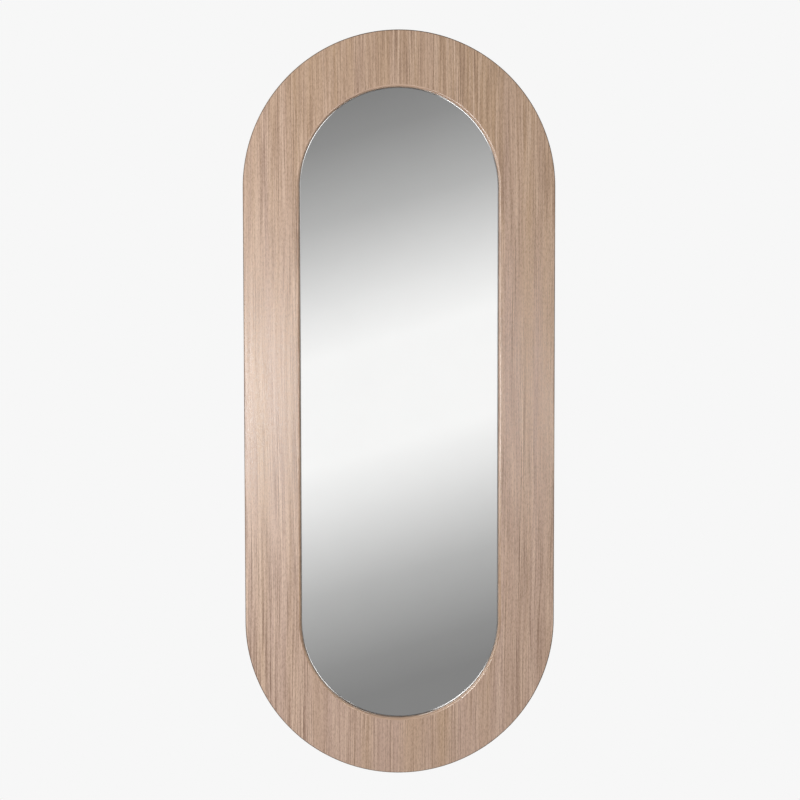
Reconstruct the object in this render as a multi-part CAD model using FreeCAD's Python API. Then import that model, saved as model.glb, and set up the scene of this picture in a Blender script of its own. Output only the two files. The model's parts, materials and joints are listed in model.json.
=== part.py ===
import FreeCAD, Part
import math
import os

from FreeCAD import Vector

# Pill-shaped wall mirror: a wide veneered frame on a back panel, a pane of mirror glass glued to the
# panel inside the frame's opening, and two ring hangers and four rubber bumpers on the back.
# Millimetres. +Z is up, +X is the viewer's right, +Y points from the glass to the wall.
# The origin is the middle of the mirror, on the wall plane that the bumpers touch.

# Outline
overall_width = 750.0
overall_height = 1798.0
border_width = 135.5  # wood that shows round the opening

# Frame and back panel
frame_thickness = 18.0
back_panel_thickness = 8.0
face_veneer_thickness = 0.6
back_veneer_thickness = 0.6
band_thickness = 2.0
band_edge_round = 1.5
lipping_thickness = 6.0
lipping_round = 5.5
joint_gap = 0.2  # butt joints of the edge band and the lipping, at the bottom

# Glass and what holds it
glass_thickness = 5.0
glass_clearance = 1.0  # between the glass and the lipping
glass_arris = 0.8  # polished chamfers round the front and back edges
coating_thickness = 0.1
coating_margin = 1.0  # clear glass left round the coating
film_thickness = 0.1
tape_count = 4
tape_thickness = 1.0
tape_width = 25.0
tape_side_margin = 60.0  # from the glass's side to the outer edge of the outermost tapes
bead_width = 12.0
strip_end_setback = 30.0  # from the glass's edge to the ends of tapes and beads

# Strap hangers and their rings
hanger_side_inset = 66.0  # from the frame's side to the hanger's middle
hanger_drop = 60.0  # from the upper bumpers down to the rings' pivots
strap_width = 19.0
strap_thickness = 1.5
strap_end_margin = 10.0  # from the last screw to the strap's end
eye_slit = 0.6  # between the rolled end of the eye and the strap
ring_wire_diameter = 3.5
ring_running_clearance = 0.05  # radial, wire in eye
ring_side_clearance = 1.5  # each side of the eye, along the wire
ring_corner_radius = 4.0
ring_side_length = 2.0

# Wood screws
screw_diameter = 4.0
screw_point_length = 4.0
screw_point_radius = 0.2
screw_head_diameter = 8.0
screw_head_height = 2.4
screw_head_round = 1.2
screw_hole_clearance = 0.25  # radial, in straps, washers and bumpers
screw_pitch = 18.0
screw_ring_clearance = 2.25  # from the folded ring to the next screw head
screw_bite = 6.0  # into the frame, beyond the back panel
recess_width = 0.9
recess_depth = 1.3
recess_rim = 1.8  # head left at each end of the cross recess

# Wall bumpers
bumper_height = 8.0
bumper_base_diameter = 24.0
bumper_wall_diameter = 20.0
bumper_edge_round = 1.0
bumper_floor = 2.5  # rubber under the washer
bumper_side_inset = 66.0  # from the frame's side to the bumper's axis
washer_diameter = 10.5
washer_thickness = 1.0
washer_side_clearance = 0.25

# Places that follow from these, from the wall to the front
board_back = -bumper_height
panel_back = board_back - back_veneer_thickness
panel_front = panel_back - back_panel_thickness
frame_front = panel_front - frame_thickness
board_front = frame_front - face_veneer_thickness
film_back = panel_front - tape_thickness
coating_back = film_back - film_thickness
glass_back = coating_back - coating_thickness
glass_front = glass_back - glass_thickness

panel_width = overall_width - 2 * band_thickness
panel_height = overall_height - 2 * band_thickness
opening_width = overall_width - 2 * border_width
opening_height = overall_height - 2 * border_width
lipping_width = opening_width + 2 * lipping_thickness
lipping_height = opening_height + 2 * lipping_thickness
glass_width = opening_width - 2 * glass_clearance
glass_height = opening_height - 2 * glass_clearance
straight_half = (overall_height - overall_width) / 2

ring_wire_radius = ring_wire_diameter / 2
eye_inner_radius = ring_wire_radius + ring_running_clearance
eye_outer_radius = eye_inner_radius + strap_thickness
ring_leg = strap_width + 2 * ring_side_clearance
ring_half_width = ring_leg / 2 + ring_corner_radius
ring_height = ring_corner_radius + ring_side_length + ring_half_width

hanger_across = overall_width / 2 - hanger_side_inset
hanger_pivot_height = straight_half - hanger_drop
screw_head_radius = screw_head_diameter / 2
screw_hole_radius = screw_diameter / 2 + screw_hole_clearance
screw_depth = back_veneer_thickness + back_panel_thickness + screw_bite
upper_screw_offset = ring_height / 2
middle_screw_offset = ring_height + ring_wire_radius + screw_ring_clearance + screw_head_radius
lower_screw_offset = middle_screw_offset + screw_pitch
strap_screw_offsets = (upper_screw_offset, middle_screw_offset, lower_screw_offset)
strap_length = lower_screw_offset + strap_end_margin

bumper_across = overall_width / 2 - bumper_side_inset
counterbore_radius = washer_diameter / 2 + washer_side_clearance

SIDES = {"left": -1, "right": 1}
LEVELS = {"top": 1, "bottom": -1}
X_AXIS = Vector(1, 0, 0)
Y_AXIS = Vector(0, 1, 0)
ORIGIN = Vector(0, 0, 0)
FILLET_SHARE = 0.45  # the most of a wall that a fillet on each of its two edges may take


def fillet_within(radius, wall):
    """A fillet radius that leaves some of the wall between its two edges flat."""
    return min(radius, FILLET_SHARE * wall)


def pill_solid(width, height, front, back):
    """A slab with straight sides and half-round ends, from one depth to another."""
    radius = width / 2
    straight = height / 2 - radius
    right_low = Vector(radius, front, -straight)
    right_high = Vector(radius, front, straight)
    left_high = Vector(-radius, front, straight)
    left_low = Vector(-radius, front, -straight)
    top = Vector(0, front, straight + radius)
    bottom = Vector(0, front, -straight - radius)
    outline = Part.Wire(
        [
            Part.LineSegment(right_low, right_high).toShape(),
            Part.Arc(right_high, top, left_high).toShape(),
            Part.LineSegment(left_high, left_low).toShape(),
            Part.Arc(left_low, bottom, right_low).toShape(),
        ]
    )
    return Part.Face(outline).extrude(Vector(0, back - front, 0))


def edges_at_depth(solid, depth):
    """The edges of a solid that lie wholly in one plane parallel to the wall."""
    tolerance = 1e-6
    found = []
    for edge in solid.Edges:
        box = edge.BoundBox
        if abs(box.YMin - depth) < tolerance and abs(box.YMax - depth) < tolerance:
            found.append(edge)
    return found


def rounded_pill(width, height, front, back, radius):
    """A pill slab with its front and back edges rounded."""
    slab = pill_solid(width, height, front, back)
    rims = edges_at_depth(slab, front) + edges_at_depth(slab, back)
    return slab.makeFillet(radius, rims)


def on_board_back(shape, across, up):
    """Puts a piece modelled along +Z from z = 0 onto the board's back, pointing at the wall."""
    placed = shape.copy()
    placed.rotate(ORIGIN, X_AXIS, -90)
    placed.translate(Vector(across, board_back, up))
    return placed


# Frame and back panel


def butt_joint(height, thickness, front, back):
    """The gap between the ends of a strip that is bent round a pill of the given outer height."""
    corner = Vector(-joint_gap / 2, front, -height / 2 - thickness / 2)
    return Part.makeBox(joint_gap, back - front, 2 * thickness, corner)


def edge_band():
    """Wood strip bent round frame and back panel, with rounded corners."""
    radius = min(band_edge_round, band_thickness)
    outside = rounded_pill(overall_width, overall_height, board_front, board_back, radius)
    inside = pill_solid(panel_width, panel_height, board_front, board_back)
    joint = butt_joint(overall_height, band_thickness, board_front, board_back)
    return outside.cut(inside).cut(joint)


def opening_lipping():
    """Wood strip bent round the inside of the opening, its front edge rounded over."""
    strip = pill_solid(lipping_width, lipping_height, board_front, panel_front)
    strip = strip.cut(pill_solid(opening_width, opening_height, board_front, panel_front))
    middle = (opening_width + lipping_width) / 4
    inner_edges = [edge for edge in edges_at_depth(strip, board_front) if abs(edge.BoundBox.XMax) < middle]
    strip = strip.makeFillet(min(lipping_round, lipping_thickness), inner_edges)
    return strip.cut(butt_joint(lipping_height, lipping_thickness, board_front, panel_front))


def full_layer(front, back):
    """A layer that fills the edge band."""
    return pill_solid(panel_width, panel_height, front, back)


def frame_layer(front, back):
    """A layer between the edge band and the lipping."""
    return full_layer(front, back).cut(pill_solid(lipping_width, lipping_height, front, back))


# Glass and what holds it


def mirror_glass():
    """Pane with a small polished chamfer round both of its faces."""
    pane = pill_solid(glass_width, glass_height, glass_front, glass_back)
    return pane.makeChamfer(glass_arris, edges_at_depth(pane, glass_front) + edges_at_depth(pane, glass_back))


def silver_coating():
    """Silver and its paint, which stop short of the glass's edge."""
    inset = 2 * coating_margin
    return pill_solid(glass_width - inset, glass_height - inset, glass_back, coating_back)


def safety_film():
    """Dark film over the painted back and the clear margin round it."""
    inset = 2 * glass_arris
    return pill_solid(glass_width - inset, glass_height - inset, coating_back, film_back)


def upright_strip(across, width):
    """A strip between film and back panel that stops short of the glass's round ends."""
    outer = abs(across) + width / 2
    glass_radius = glass_width / 2
    half_length = straight_half + math.sqrt(glass_radius**2 - outer**2) - strip_end_setback
    corner = Vector(across - width / 2, film_back, -half_length)
    return Part.makeBox(width, tape_thickness, 2 * half_length, corner)


def tape_places():
    """The tapes' middles, spread evenly across the glass."""
    outermost = glass_width / 2 - tape_side_margin - tape_width / 2
    step = 2 * outermost / (tape_count - 1)
    return [-outermost + i * step for i in range(tape_count)]


def mounting_tapes():
    """Double-sided foam tapes."""
    return Part.makeCompound([upright_strip(place, tape_width) for place in tape_places()])


def adhesive_beads():
    """Pressed beads of adhesive, one midway between each two tapes."""
    places = tape_places()
    middles = [(a + b) / 2 for a, b in zip(places, places[1:])]
    return Part.makeCompound([upright_strip(middle, bead_width) for middle in middles])


# Fasteners


def wood_screw(seat):
    """Pan-head screw along -Z, its head sitting at the given height above the board's back."""
    radius = screw_diameter / 2
    point_base = -(screw_depth - screw_point_length)
    head = Part.makeCylinder(screw_head_radius, screw_head_height, Vector(0, 0, seat))
    rim = [edge for edge in head.Edges if edge.BoundBox.ZMin > seat + screw_head_height / 2]
    head = head.makeFillet(fillet_within(screw_head_round, 2 * screw_head_height), rim)
    shank = Part.makeCylinder(radius, seat - point_base, Vector(0, 0, point_base))
    point = Part.makeCone(screw_point_radius, radius, screw_point_length, Vector(0, 0, -screw_depth))
    screw = head.fuse([shank, point]).removeSplitter()
    return screw.cut(cross_recess(seat + screw_head_height))


def cross_recess(top):
    """The cross-shaped driver recess, cut down from the top of a screw head."""
    length = screw_head_diameter - 2 * recess_rim
    low = top - recess_depth
    along = Part.makeBox(length, recess_width, recess_depth, Vector(-length / 2, -recess_width / 2, low))
    across = Part.makeBox(recess_width, length, recess_depth, Vector(-recess_width / 2, -length / 2, low))
    return along.fuse(across)


def strap_screws(side):
    """The screws of one strap hanger."""
    screw = wood_screw(strap_thickness)
    across = side * hanger_across
    heights = [hanger_pivot_height - offset for offset in strap_screw_offsets]
    return Part.makeCompound([on_board_back(screw, across, height) for height in heights])


# Ring hangers


def hanger_strap(side):
    """Flat strap with a half-round end, three screw holes and an eye rolled at its top."""
    half = strap_width / 2
    straight_end = -(strap_length - half)
    outline = Part.Wire(
        [
            Part.LineSegment(Vector(-half, 0, straight_end), Vector(-half, 0, 0)).toShape(),
            Part.LineSegment(Vector(-half, 0, 0), Vector(half, 0, 0)).toShape(),
            Part.LineSegment(Vector(half, 0, 0), Vector(half, 0, straight_end)).toShape(),
            Part.Arc(
                Vector(half, 0, straight_end),
                Vector(0, 0, -strap_length),
                Vector(-half, 0, straight_end),
            ).toShape(),
        ]
    )
    plate = Part.Face(outline).extrude(Vector(0, strap_thickness, 0))
    eye_start = Vector(-half, eye_outer_radius, 0)
    eye_wall = Part.makeCylinder(eye_outer_radius, strap_width, eye_start, X_AXIS)
    eye_bore = Part.makeCylinder(eye_inner_radius, strap_width, eye_start, X_AXIS)
    slit = Part.makeBox(
        strap_width,
        eye_slit,
        eye_outer_radius,
        Vector(-half, strap_thickness, -eye_outer_radius),
    )
    strap = plate.fuse(eye_wall).cut(eye_bore).cut(slit)
    for offset in strap_screw_offsets:
        hole = Part.makeCylinder(screw_hole_radius, strap_thickness, Vector(0, 0, -offset), Y_AXIS)
        strap = strap.cut(hole)
    strap = strap.removeSplitter()
    strap.translate(Vector(side * hanger_across, board_back, hanger_pivot_height))
    return strap


def hanger_ring(side):
    """Closed wire ring, straight where it turns in the eye and round at its crown, drawn upright."""
    half_leg = ring_leg / 2
    shoulder = ring_corner_radius + ring_side_length
    corner_drop = ring_corner_radius * (1 - math.sqrt(0.5))
    corner_middle = ring_half_width - corner_drop

    def at(across, up):
        return Vector(across, eye_outer_radius, up)

    path = Part.Wire(
        [
            Part.LineSegment(at(-half_leg, 0), at(half_leg, 0)).toShape(),
            Part.Arc(
                at(half_leg, 0), at(corner_middle, corner_drop), at(ring_half_width, ring_corner_radius)
            ).toShape(),
            Part.LineSegment(at(ring_half_width, ring_corner_radius), at(ring_half_width, shoulder)).toShape(),
            Part.Arc(
                at(ring_half_width, shoulder), at(0, ring_height), at(-ring_half_width, shoulder)
            ).toShape(),
            Part.LineSegment(at(-ring_half_width, shoulder), at(-ring_half_width, ring_corner_radius)).toShape(),
            Part.Arc(
                at(-ring_half_width, ring_corner_radius), at(-corner_middle, corner_drop), at(-half_leg, 0)
            ).toShape(),
        ]
    )
    section = Part.Wire(Part.makeCircle(ring_wire_radius, at(-half_leg, 0), X_AXIS))
    make_solid = True
    ring = path.makePipeShell([section], make_solid)
    ring.translate(Vector(side * hanger_across, board_back, hanger_pivot_height))
    return ring


# Wall bumpers


def wall_bumper():
    """Tapered rubber foot along +Z, with a deep seat for the washer and a bore for the screw."""
    body = Part.makeCone(bumper_base_diameter / 2, bumper_wall_diameter / 2, bumper_height)
    rim = [edge for edge in body.Edges if edge.BoundBox.ZMin > bumper_height / 2]
    body = body.makeFillet(bumper_edge_round, rim)
    seat = Part.makeCylinder(counterbore_radius, bumper_height, Vector(0, 0, bumper_floor))
    bore = Part.makeCylinder(screw_hole_radius, bumper_height)
    return body.cut(seat).cut(bore)


def washer():
    """Flat washer on the bumper's floor."""
    base = Vector(0, 0, bumper_floor)
    disc = Part.makeCylinder(washer_diameter / 2, washer_thickness, base)
    return disc.cut(Part.makeCylinder(screw_hole_radius, washer_thickness, base))


def at_bumpers(piece):
    """One copy of a piece at each bumper, by the bumper's name."""
    return {
        f"{level}_{side}": on_board_back(piece, SIDES[side] * bumper_across, LEVELS[level] * straight_half)
        for level in LEVELS
        for side in SIDES
    }


def all_pieces():
    """Every piece of the mirror by its name."""
    bumper_screws = Part.makeCompound(list(at_bumpers(wood_screw(bumper_floor + washer_thickness)).values()))
    washers = Part.makeCompound(list(at_bumpers(washer()).values()))
    screws = {side: strap_screws(SIDES[side]) for side in SIDES}
    every_screw = Part.makeCompound([bumper_screws, *screws.values()])

    pieces = {
        "frame_core": frame_layer(frame_front, panel_front).cut(every_screw),
        "back_panel": full_layer(panel_front, panel_back).cut(every_screw),
        "face_veneer": frame_layer(board_front, frame_front),
        "back_veneer": full_layer(panel_back, board_back).cut(every_screw),
        "edge_band": edge_band(),
        "opening_lipping": opening_lipping(),
        "mirror_glass": mirror_glass(),
        "silver_coating": silver_coating(),
        "safety_film": safety_film(),
        "mounting_tapes": mounting_tapes(),
        "adhesive_beads": adhesive_beads(),
        "bumper_washers": washers,
        "bumper_screws": bumper_screws,
    }
    for side, sign in SIDES.items():
        pieces[f"hanger_strap_{side}"] = hanger_strap(sign)
        pieces[f"hanger_ring_{side}"] = hanger_ring(sign)
        pieces[f"hanger_screws_{side}"] = screws[side]
    for place, bumper in at_bumpers(wall_bumper()).items():
        pieces[f"bumper_{place}"] = bumper
    return pieces


os.makedirs("parts", exist_ok=True)
for name, shape in all_pieces().items():
    shape.exportStep(f"parts/{name}.step")
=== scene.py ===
"""Pill-shaped wall mirror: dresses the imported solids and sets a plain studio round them.

Lengths are in metres, in the solids' own frame: X to the viewer's right, Y towards the wall, Z up.
"""

import json
import logging
import math
from dataclasses import asdict, dataclass
from enum import Enum

import bmesh
import bpy
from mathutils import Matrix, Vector

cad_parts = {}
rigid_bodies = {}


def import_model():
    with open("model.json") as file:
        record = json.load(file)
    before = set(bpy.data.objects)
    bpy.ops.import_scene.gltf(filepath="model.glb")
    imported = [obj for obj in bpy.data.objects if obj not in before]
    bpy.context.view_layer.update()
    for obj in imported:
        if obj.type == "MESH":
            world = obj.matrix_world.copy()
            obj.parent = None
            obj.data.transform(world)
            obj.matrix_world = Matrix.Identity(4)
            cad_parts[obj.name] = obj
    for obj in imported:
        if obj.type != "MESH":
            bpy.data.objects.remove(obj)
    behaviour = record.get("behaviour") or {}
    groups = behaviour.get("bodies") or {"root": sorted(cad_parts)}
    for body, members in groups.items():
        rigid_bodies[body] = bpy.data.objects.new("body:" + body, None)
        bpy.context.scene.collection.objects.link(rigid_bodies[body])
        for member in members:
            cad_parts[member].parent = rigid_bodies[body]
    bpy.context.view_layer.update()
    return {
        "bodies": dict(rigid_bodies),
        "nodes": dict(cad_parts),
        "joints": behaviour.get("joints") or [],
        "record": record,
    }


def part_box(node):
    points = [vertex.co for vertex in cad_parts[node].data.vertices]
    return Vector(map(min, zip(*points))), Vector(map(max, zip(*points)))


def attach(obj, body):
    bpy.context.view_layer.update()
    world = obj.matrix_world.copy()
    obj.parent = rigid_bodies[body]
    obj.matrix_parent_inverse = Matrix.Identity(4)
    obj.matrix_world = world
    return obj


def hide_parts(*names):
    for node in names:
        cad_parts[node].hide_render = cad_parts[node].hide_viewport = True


log = logging.getLogger("mirror")

MM = 0.001
ROOT_BODY = "mirror"

Point = tuple[float, float]
Place = tuple[float, float, float]
Colour = tuple[float, float, float]
Socket = bpy.types.NodeSocket
Value = Socket | float | int | bool | tuple

ORIGIN: Place = (0.0, 0.0, 0.0)
WHITE: Colour = (1.0, 1.0, 1.0)
WELD_DISTANCE = 0.001 * MM
# Euler angles that stand a flat shape upright, and that point a shape's Z at the wall.
STOOD_UP: Place = (math.pi / 2, 0.0, 0.0)
FACING_WALL: Place = (-math.pi / 2, 0.0, 0.0)
# The angle between faces from which an edge stays sharp, in degrees.
SHARP_ANGLE = 30.0
# Most of a noise's values lie in this span.
NOISE_SPAN: Point = (0.3, 0.7)
# A pattern's shift on X, Y and Z, in shares of the shift that a finish names.
SHIFT_SHARES: Place = (1.0, 0.37, 0.71)


class Side(Enum):
    """The viewer's left and right, with the sign of X there."""

    LEFT = -1
    RIGHT = 1

    @property
    def word(self) -> str:
        """The side as node names spell it."""
        return self.name.lower()


class Grain(Enum):
    """Which way a wood finish lays its grain."""

    UPRIGHT = "along Z"
    ALONG_STRIP = "round the frame, along the strip"


def srgb(red: int, green: int, blue: int) -> Colour:
    """Turns 8-bit display values into linear light.

    Args:
        red: Display red, 0 to 255.
        green: Display green, 0 to 255.
        blue: Display blue, 0 to 255.

    Returns:
        The colour in linear light.
    """

    def linear(value: int) -> float:
        """One channel."""
        share = value / 255
        return share / 12.92 if share <= 0.04045 else ((share + 0.055) / 1.055) ** 2.4

    return linear(red), linear(green), linear(blue)


class TreeSketch:
    """Short ways to add the nodes of any tree."""

    def __init__(self, tree: bpy.types.NodeTree) -> None:
        """Starts on an emptied tree."""
        self.tree = tree
        tree.nodes.clear()

    def add(self, kind: str, **settings: object) -> bpy.types.Node:
        """Adds a node.

        Args:
            kind: The node's type name.
            settings: Properties to set on it.

        Returns:
            The new node.
        """
        node = self.tree.nodes.new(kind)
        for name, value in settings.items():
            setattr(node, name, value)
        return node

    def feed(self, socket: Socket, value: Value) -> None:
        """Links an output to a socket, or sets a constant on it.

        Args:
            socket: The input.
            value: An output or a constant; a colour gets its alpha here.
        """
        if isinstance(value, Socket):
            self.tree.links.new(value, socket)
        elif socket.type == "RGBA":
            socket.default_value = (*value, 1.0)
        else:
            socket.default_value = value

    def make(self, kind: str, inputs: dict[str | int, Value], **settings: object) -> Socket:
        """Adds a node and feeds its inputs.

        Args:
            kind: The node's type name.
            inputs: Names or numbers of inputs, and what they get.
            settings: Properties to set on the node.

        Returns:
            The node's first output.
        """
        node = self.add(kind, **settings)
        for name, value in inputs.items():
            self.feed(node.inputs[name], value)
        return node.outputs[0]

    def lay(self, kind: str, *values: Value, **settings: object) -> Socket:
        """Adds a node and feeds its first inputs in order."""
        return self.make(kind, dict(enumerate(values)), **settings)

    def math(self, operation: str, *values: Value) -> Socket:
        """Adds a Math node."""
        return self.lay("ShaderNodeMath", *values, operation=operation)

    def times(self, value: Socket, factor: Value) -> Socket:
        """A value times a factor."""
        return self.math("MULTIPLY", value, factor)

    def apart(self, vector: Socket) -> tuple[Socket, Socket, Socket]:
        """Takes a vector apart into its X, Y and Z."""
        return tuple(self.lay("ShaderNodeSeparateXYZ", vector).node.outputs)

    def vector(self, x: Value = 0.0, y: Value = 0.0, z: Value = 0.0) -> Socket:
        """Puts a vector together."""
        return self.lay("ShaderNodeCombineXYZ", x, y, z)


class ShaderSketch(TreeSketch):
    """Short ways to add the nodes of a material or a world."""

    def place(self) -> Socket:
        """The coordinate that every finish reads: the object's own."""
        return self.add("ShaderNodeTexCoord").outputs["Object"]

    def remap(self, value: Value, span: Point, results: tuple[Value, Value] = (0.0, 1.0)) -> Socket:
        """Maps a span of inputs to a span of results, which are level before and beyond it."""
        return self.lay("ShaderNodeMapRange", value, *span, *results)

    def curve(self, value: Socket, steps: tuple[Point, ...]) -> Socket:
        """Adds a curve of straight pieces, level before its first step and beyond its last.

        Args:
            value: The input.
            steps: Points (input, result) in order.

        Returns:
            The result's output.
        """
        result: Value = steps[0][1]
        for (start, before), (end, after) in zip(steps, steps[1:]):
            result = self.math("ADD", result, self.remap(value, (start, end), (0.0, after - before)))
        return result

    def mix(self, share: Value, first: Value, second: Value, blend: str = "MIX") -> Socket:
        """Adds a colour Mix node.

        Args:
            share: How much of the second colour.
            first: First colour.
            second: Second colour.
            blend: The blend type.

        Returns:
            The mixed colour's output.
        """
        node = self.add("ShaderNodeMix", data_type="RGBA", blend_type=blend)
        colours = [socket for socket in node.inputs if socket.type == "RGBA"]
        for socket, value in zip((node.inputs[0], *colours), (share, first, second)):
            self.feed(socket, value)
        return next(socket for socket in node.outputs if socket.type == "RGBA")

    def noise(
        self, place: Socket, scale: Place, shift: float, detail: float = 2.0, roughness: float = 0.5
    ) -> Socket:
        """Adds a Noise Texture, stretched by its own factor on each axis.

        Args:
            place: The coordinate.
            scale: Cycles per metre on X, Y and Z.
            shift: Moves the pattern, so that layers don't line up.
            detail: Octaves.
            roughness: How much the finer octaves count.

        Returns:
            The noise value's output, about 0.5 on average.
        """
        offset = tuple(shift * share for share in SHIFT_SHARES)
        moved = self.make("ShaderNodeMapping", {"Vector": place, "Scale": scale, "Location": offset})
        settings = {"Vector": moved, "Scale": 1.0, "Detail": detail, "Roughness": roughness}
        return self.make("ShaderNodeTexNoise", settings)

    def bump(self, height: Socket, strength: float, depth: float) -> Socket:
        """Bends the normal by a height, of which 1 is as deep as depth says."""
        return self.make("ShaderNodeBump", {"Strength": strength, "Distance": depth, "Height": height})

    def choose(self, share: Socket, first: Socket, second: Socket) -> Socket:
        """Mixes two shaders; the share is the second one's."""
        return self.lay("ShaderNodeMixShader", share, first, second)

    def surface(self, inputs: dict[str, Value], volume: Socket | None = None) -> None:
        """Adds the Principled shader and the material's output.

        Args:
            inputs: Socket names of the shader and what they get.
            volume: The output of a volume shader, if the material has one.
        """
        output = self.add("ShaderNodeOutputMaterial")
        self.feed(output.inputs["Surface"], self.make("ShaderNodeBsdfPrincipled", inputs))
        if volume:
            self.feed(output.inputs["Volume"], volume)


class GeometrySketch(TreeSketch):
    """Short ways to build one Geometry Nodes group."""

    def __init__(self, name: str) -> None:
        """Starts a group that takes points and gives a shape.

        Args:
            name: The group's name.
        """
        super().__init__(bpy.data.node_groups.new(name, "GeometryNodeTree"))
        self.tree.interface.new_socket("Shape", in_out="OUTPUT", socket_type="NodeSocketGeometry")
        self.start = self.add("NodeGroupInput")
        self.points = self.size("Points", "NodeSocketGeometry")

    def size(self, name: str, kind: str = "NodeSocketFloat") -> Socket:
        """Adds a named input to the group and gives the output that carries it."""
        self.tree.interface.new_socket(name, in_out="INPUT", socket_type=kind)
        return self.start.outputs[name]

    def sizes(self, *names: str) -> list[Socket]:
        """Adds several named lengths."""
        return [self.size(name) for name in names]

    def counts(self, *names: str) -> list[Socket]:
        """Adds several named whole numbers."""
        return [self.size(name, "NodeSocketInt") for name in names]

    def moved(self, shape: Socket, offset: Value, turn: Place = ORIGIN) -> Socket:
        """Turns a shape by Euler angles, then moves it."""
        inputs = {"Geometry": shape, "Translation": offset, "Rotation": turn}
        return self.make("GeometryNodeTransform", inputs)

    def cut(self, shape: Socket, *tools: Socket) -> Socket:
        """Cuts tools out of a shape."""
        return self.combined("DIFFERENCE", tools, {"Mesh 1": shape})

    def joined(self, *shapes: Socket) -> Socket:
        """Joins closed shapes into one."""
        return self.combined("UNION", shapes, {})

    def combined(self, operation: str, shapes: tuple[Socket, ...], base: dict[str, Socket]) -> Socket:
        """Adds an exact Mesh Boolean node.

        Args:
            operation: The node's operation.
            shapes: The outputs of what is joined or cut away.
            base: The input that takes the shape that is cut, and that shape's output.

        Returns:
            The combined shape's output.
        """
        result = self.make("GeometryNodeMeshBoolean", base, operation=operation, solver="EXACT")
        for shape in shapes:
            self.feed(result.node.inputs["Mesh 2"], shape)
        return result

    def rounded_rectangle(self, width: Socket, height: Socket, radius: Socket, steps: Socket) -> Socket:
        """A rectangle with rounded corners, drawn as a curve.

        Args:
            width: Its size on X.
            height: Its size on Y.
            radius: The radius of each corner.
            steps: Points on each corner.

        Returns:
            The curve's output.
        """
        plain = self.make("GeometryNodeCurvePrimitiveQuadrilateral", {"Width": width, "Height": height})
        bends = {"Curve": plain, "Radius": radius, "Count": steps, "Limit Radius": True}
        return self.make("GeometryNodeFilletCurve", bends, mode="POLY")

    def swept(self, path: Socket, profile: Socket) -> Socket:
        """Sweeps a profile along a closed path and welds its seams."""
        shape = self.make("GeometryNodeCurveToMesh", {"Curve": path, "Profile Curve": profile})
        return self.make("GeometryNodeMergeByDistance", {"Geometry": shape, "Distance": WELD_DISTANCE})

    def at_points(self, shape: Socket) -> Socket:
        """Puts a copy of a shape at each point, its Z towards the wall, spun at random about its own axis.

        Args:
            shape: The shape's output.

        Returns:
            The copies' output.
        """
        seed = self.size("Seed", "NodeSocketInt")
        placed = {"Points": self.points, "Instance": shape, "Rotation": FACING_WALL}
        copies = self.make("GeometryNodeInstanceOnPoints", placed)
        spin = self.add("FunctionNodeRandomValue", data_type="FLOAT")
        low, high = [socket for socket in spin.inputs if socket.type == "VALUE"][:2]
        self.feed(low, 0.0)
        self.feed(high, math.tau)
        self.feed(spin.inputs["Seed"], seed)
        angle = next(socket for socket in spin.outputs if socket.type == "VALUE")
        turned = self.make("FunctionNodeEulerToRotation", {"Euler": self.vector(z=angle)})
        return self.make("GeometryNodeRotateInstances", {"Instances": copies, "Rotation": turned})

    def finished(self, shape: Socket) -> bpy.types.NodeTree:
        """Ends the group with plain geometry in its material.

        Args:
            shape: The shape's output.

        Returns:
            The whole group.
        """
        material = self.size("Material", "NodeSocketMaterial")
        whole = self.make("GeometryNodeRealizeInstances", {"Geometry": shape})
        dressed = self.make("GeometryNodeSetMaterial", {"Geometry": whole, "Material": material})
        self.feed(self.add("NodeGroupOutput").inputs[0], dressed)
        return self.tree


def grown(
    name: str, tree: bpy.types.NodeTree, points: list[Place], values: dict[str, object]
) -> bpy.types.Mesh:
    """Runs a Geometry Nodes group on points and keeps the result as a plain mesh.

    Args:
        name: The mesh's name.
        tree: The group.
        points: Where its copies go.
        values: What its named inputs get.

    Returns:
        The mesh.
    """
    start = bpy.data.meshes.new(f"{name}_points")
    start.from_pydata(points, [], [])
    host = bpy.data.objects.new(f"{name}_host", start)
    bpy.context.scene.collection.objects.link(host)
    modifier = host.modifiers.new("shape", "NODES")
    modifier.node_group = tree
    for item in tree.interface.items_tree:
        if item.name in values:
            modifier[item.identifier] = values[item.name]
    grown_host = host.evaluated_get(bpy.context.evaluated_depsgraph_get())
    mesh = bpy.data.meshes.new_from_object(grown_host)
    mesh.name = name
    host.modifiers.remove(modifier)
    bpy.data.objects.remove(host)
    return mesh


@dataclass(frozen=True)
class PillOutline:
    """Straight sides joined by half circles, in the X-Z plane; straight is half the sides' length."""

    radius: float
    straight: float = 524.0 * MM
    arc_steps: int = 160

    @classmethod
    def of_node(cls, node: str) -> "PillOutline":
        """The outline that is as wide as a CAD node's box, with its middle at the origin."""
        return cls(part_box(node)[1].x)

    @property
    def width(self) -> float:
        """Size across."""
        return 2 * self.radius

    @property
    def height(self) -> float:
        """Size from top to bottom."""
        return 2 * (self.straight + self.radius)

    def points(self, inset: float = 0.0) -> list[Point]:
        """Walks the outline anticlockwise from the upper end of its right side.

        Args:
            inset: How far inside the outline to walk.

        Returns:
            Points (x, z), the last one before the first again.
        """
        radius = self.radius - inset
        found = []
        for start, middle in ((0.0, self.straight), (math.pi, -self.straight)):
            for step in range(self.arc_steps + 1):
                turn = start + step * math.pi / self.arc_steps
                found.append((radius * math.cos(turn), middle + radius * math.sin(turn)))
        return found


@dataclass(frozen=True)
class Finish:
    """What every finish has: a name and a way to draw its nodes."""

    name: str

    def material(self) -> bpy.types.Material:
        """Builds the material.

        Returns:
            The finished material.
        """
        material = bpy.data.materials.new(self.name)
        material.use_nodes = True
        self.draw(ShaderSketch(material.node_tree))
        return material

    def draw(self, sketch: ShaderSketch) -> None:
        """Adds the finish's nodes; each kind of finish has its own."""
        raise NotImplementedError


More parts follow.
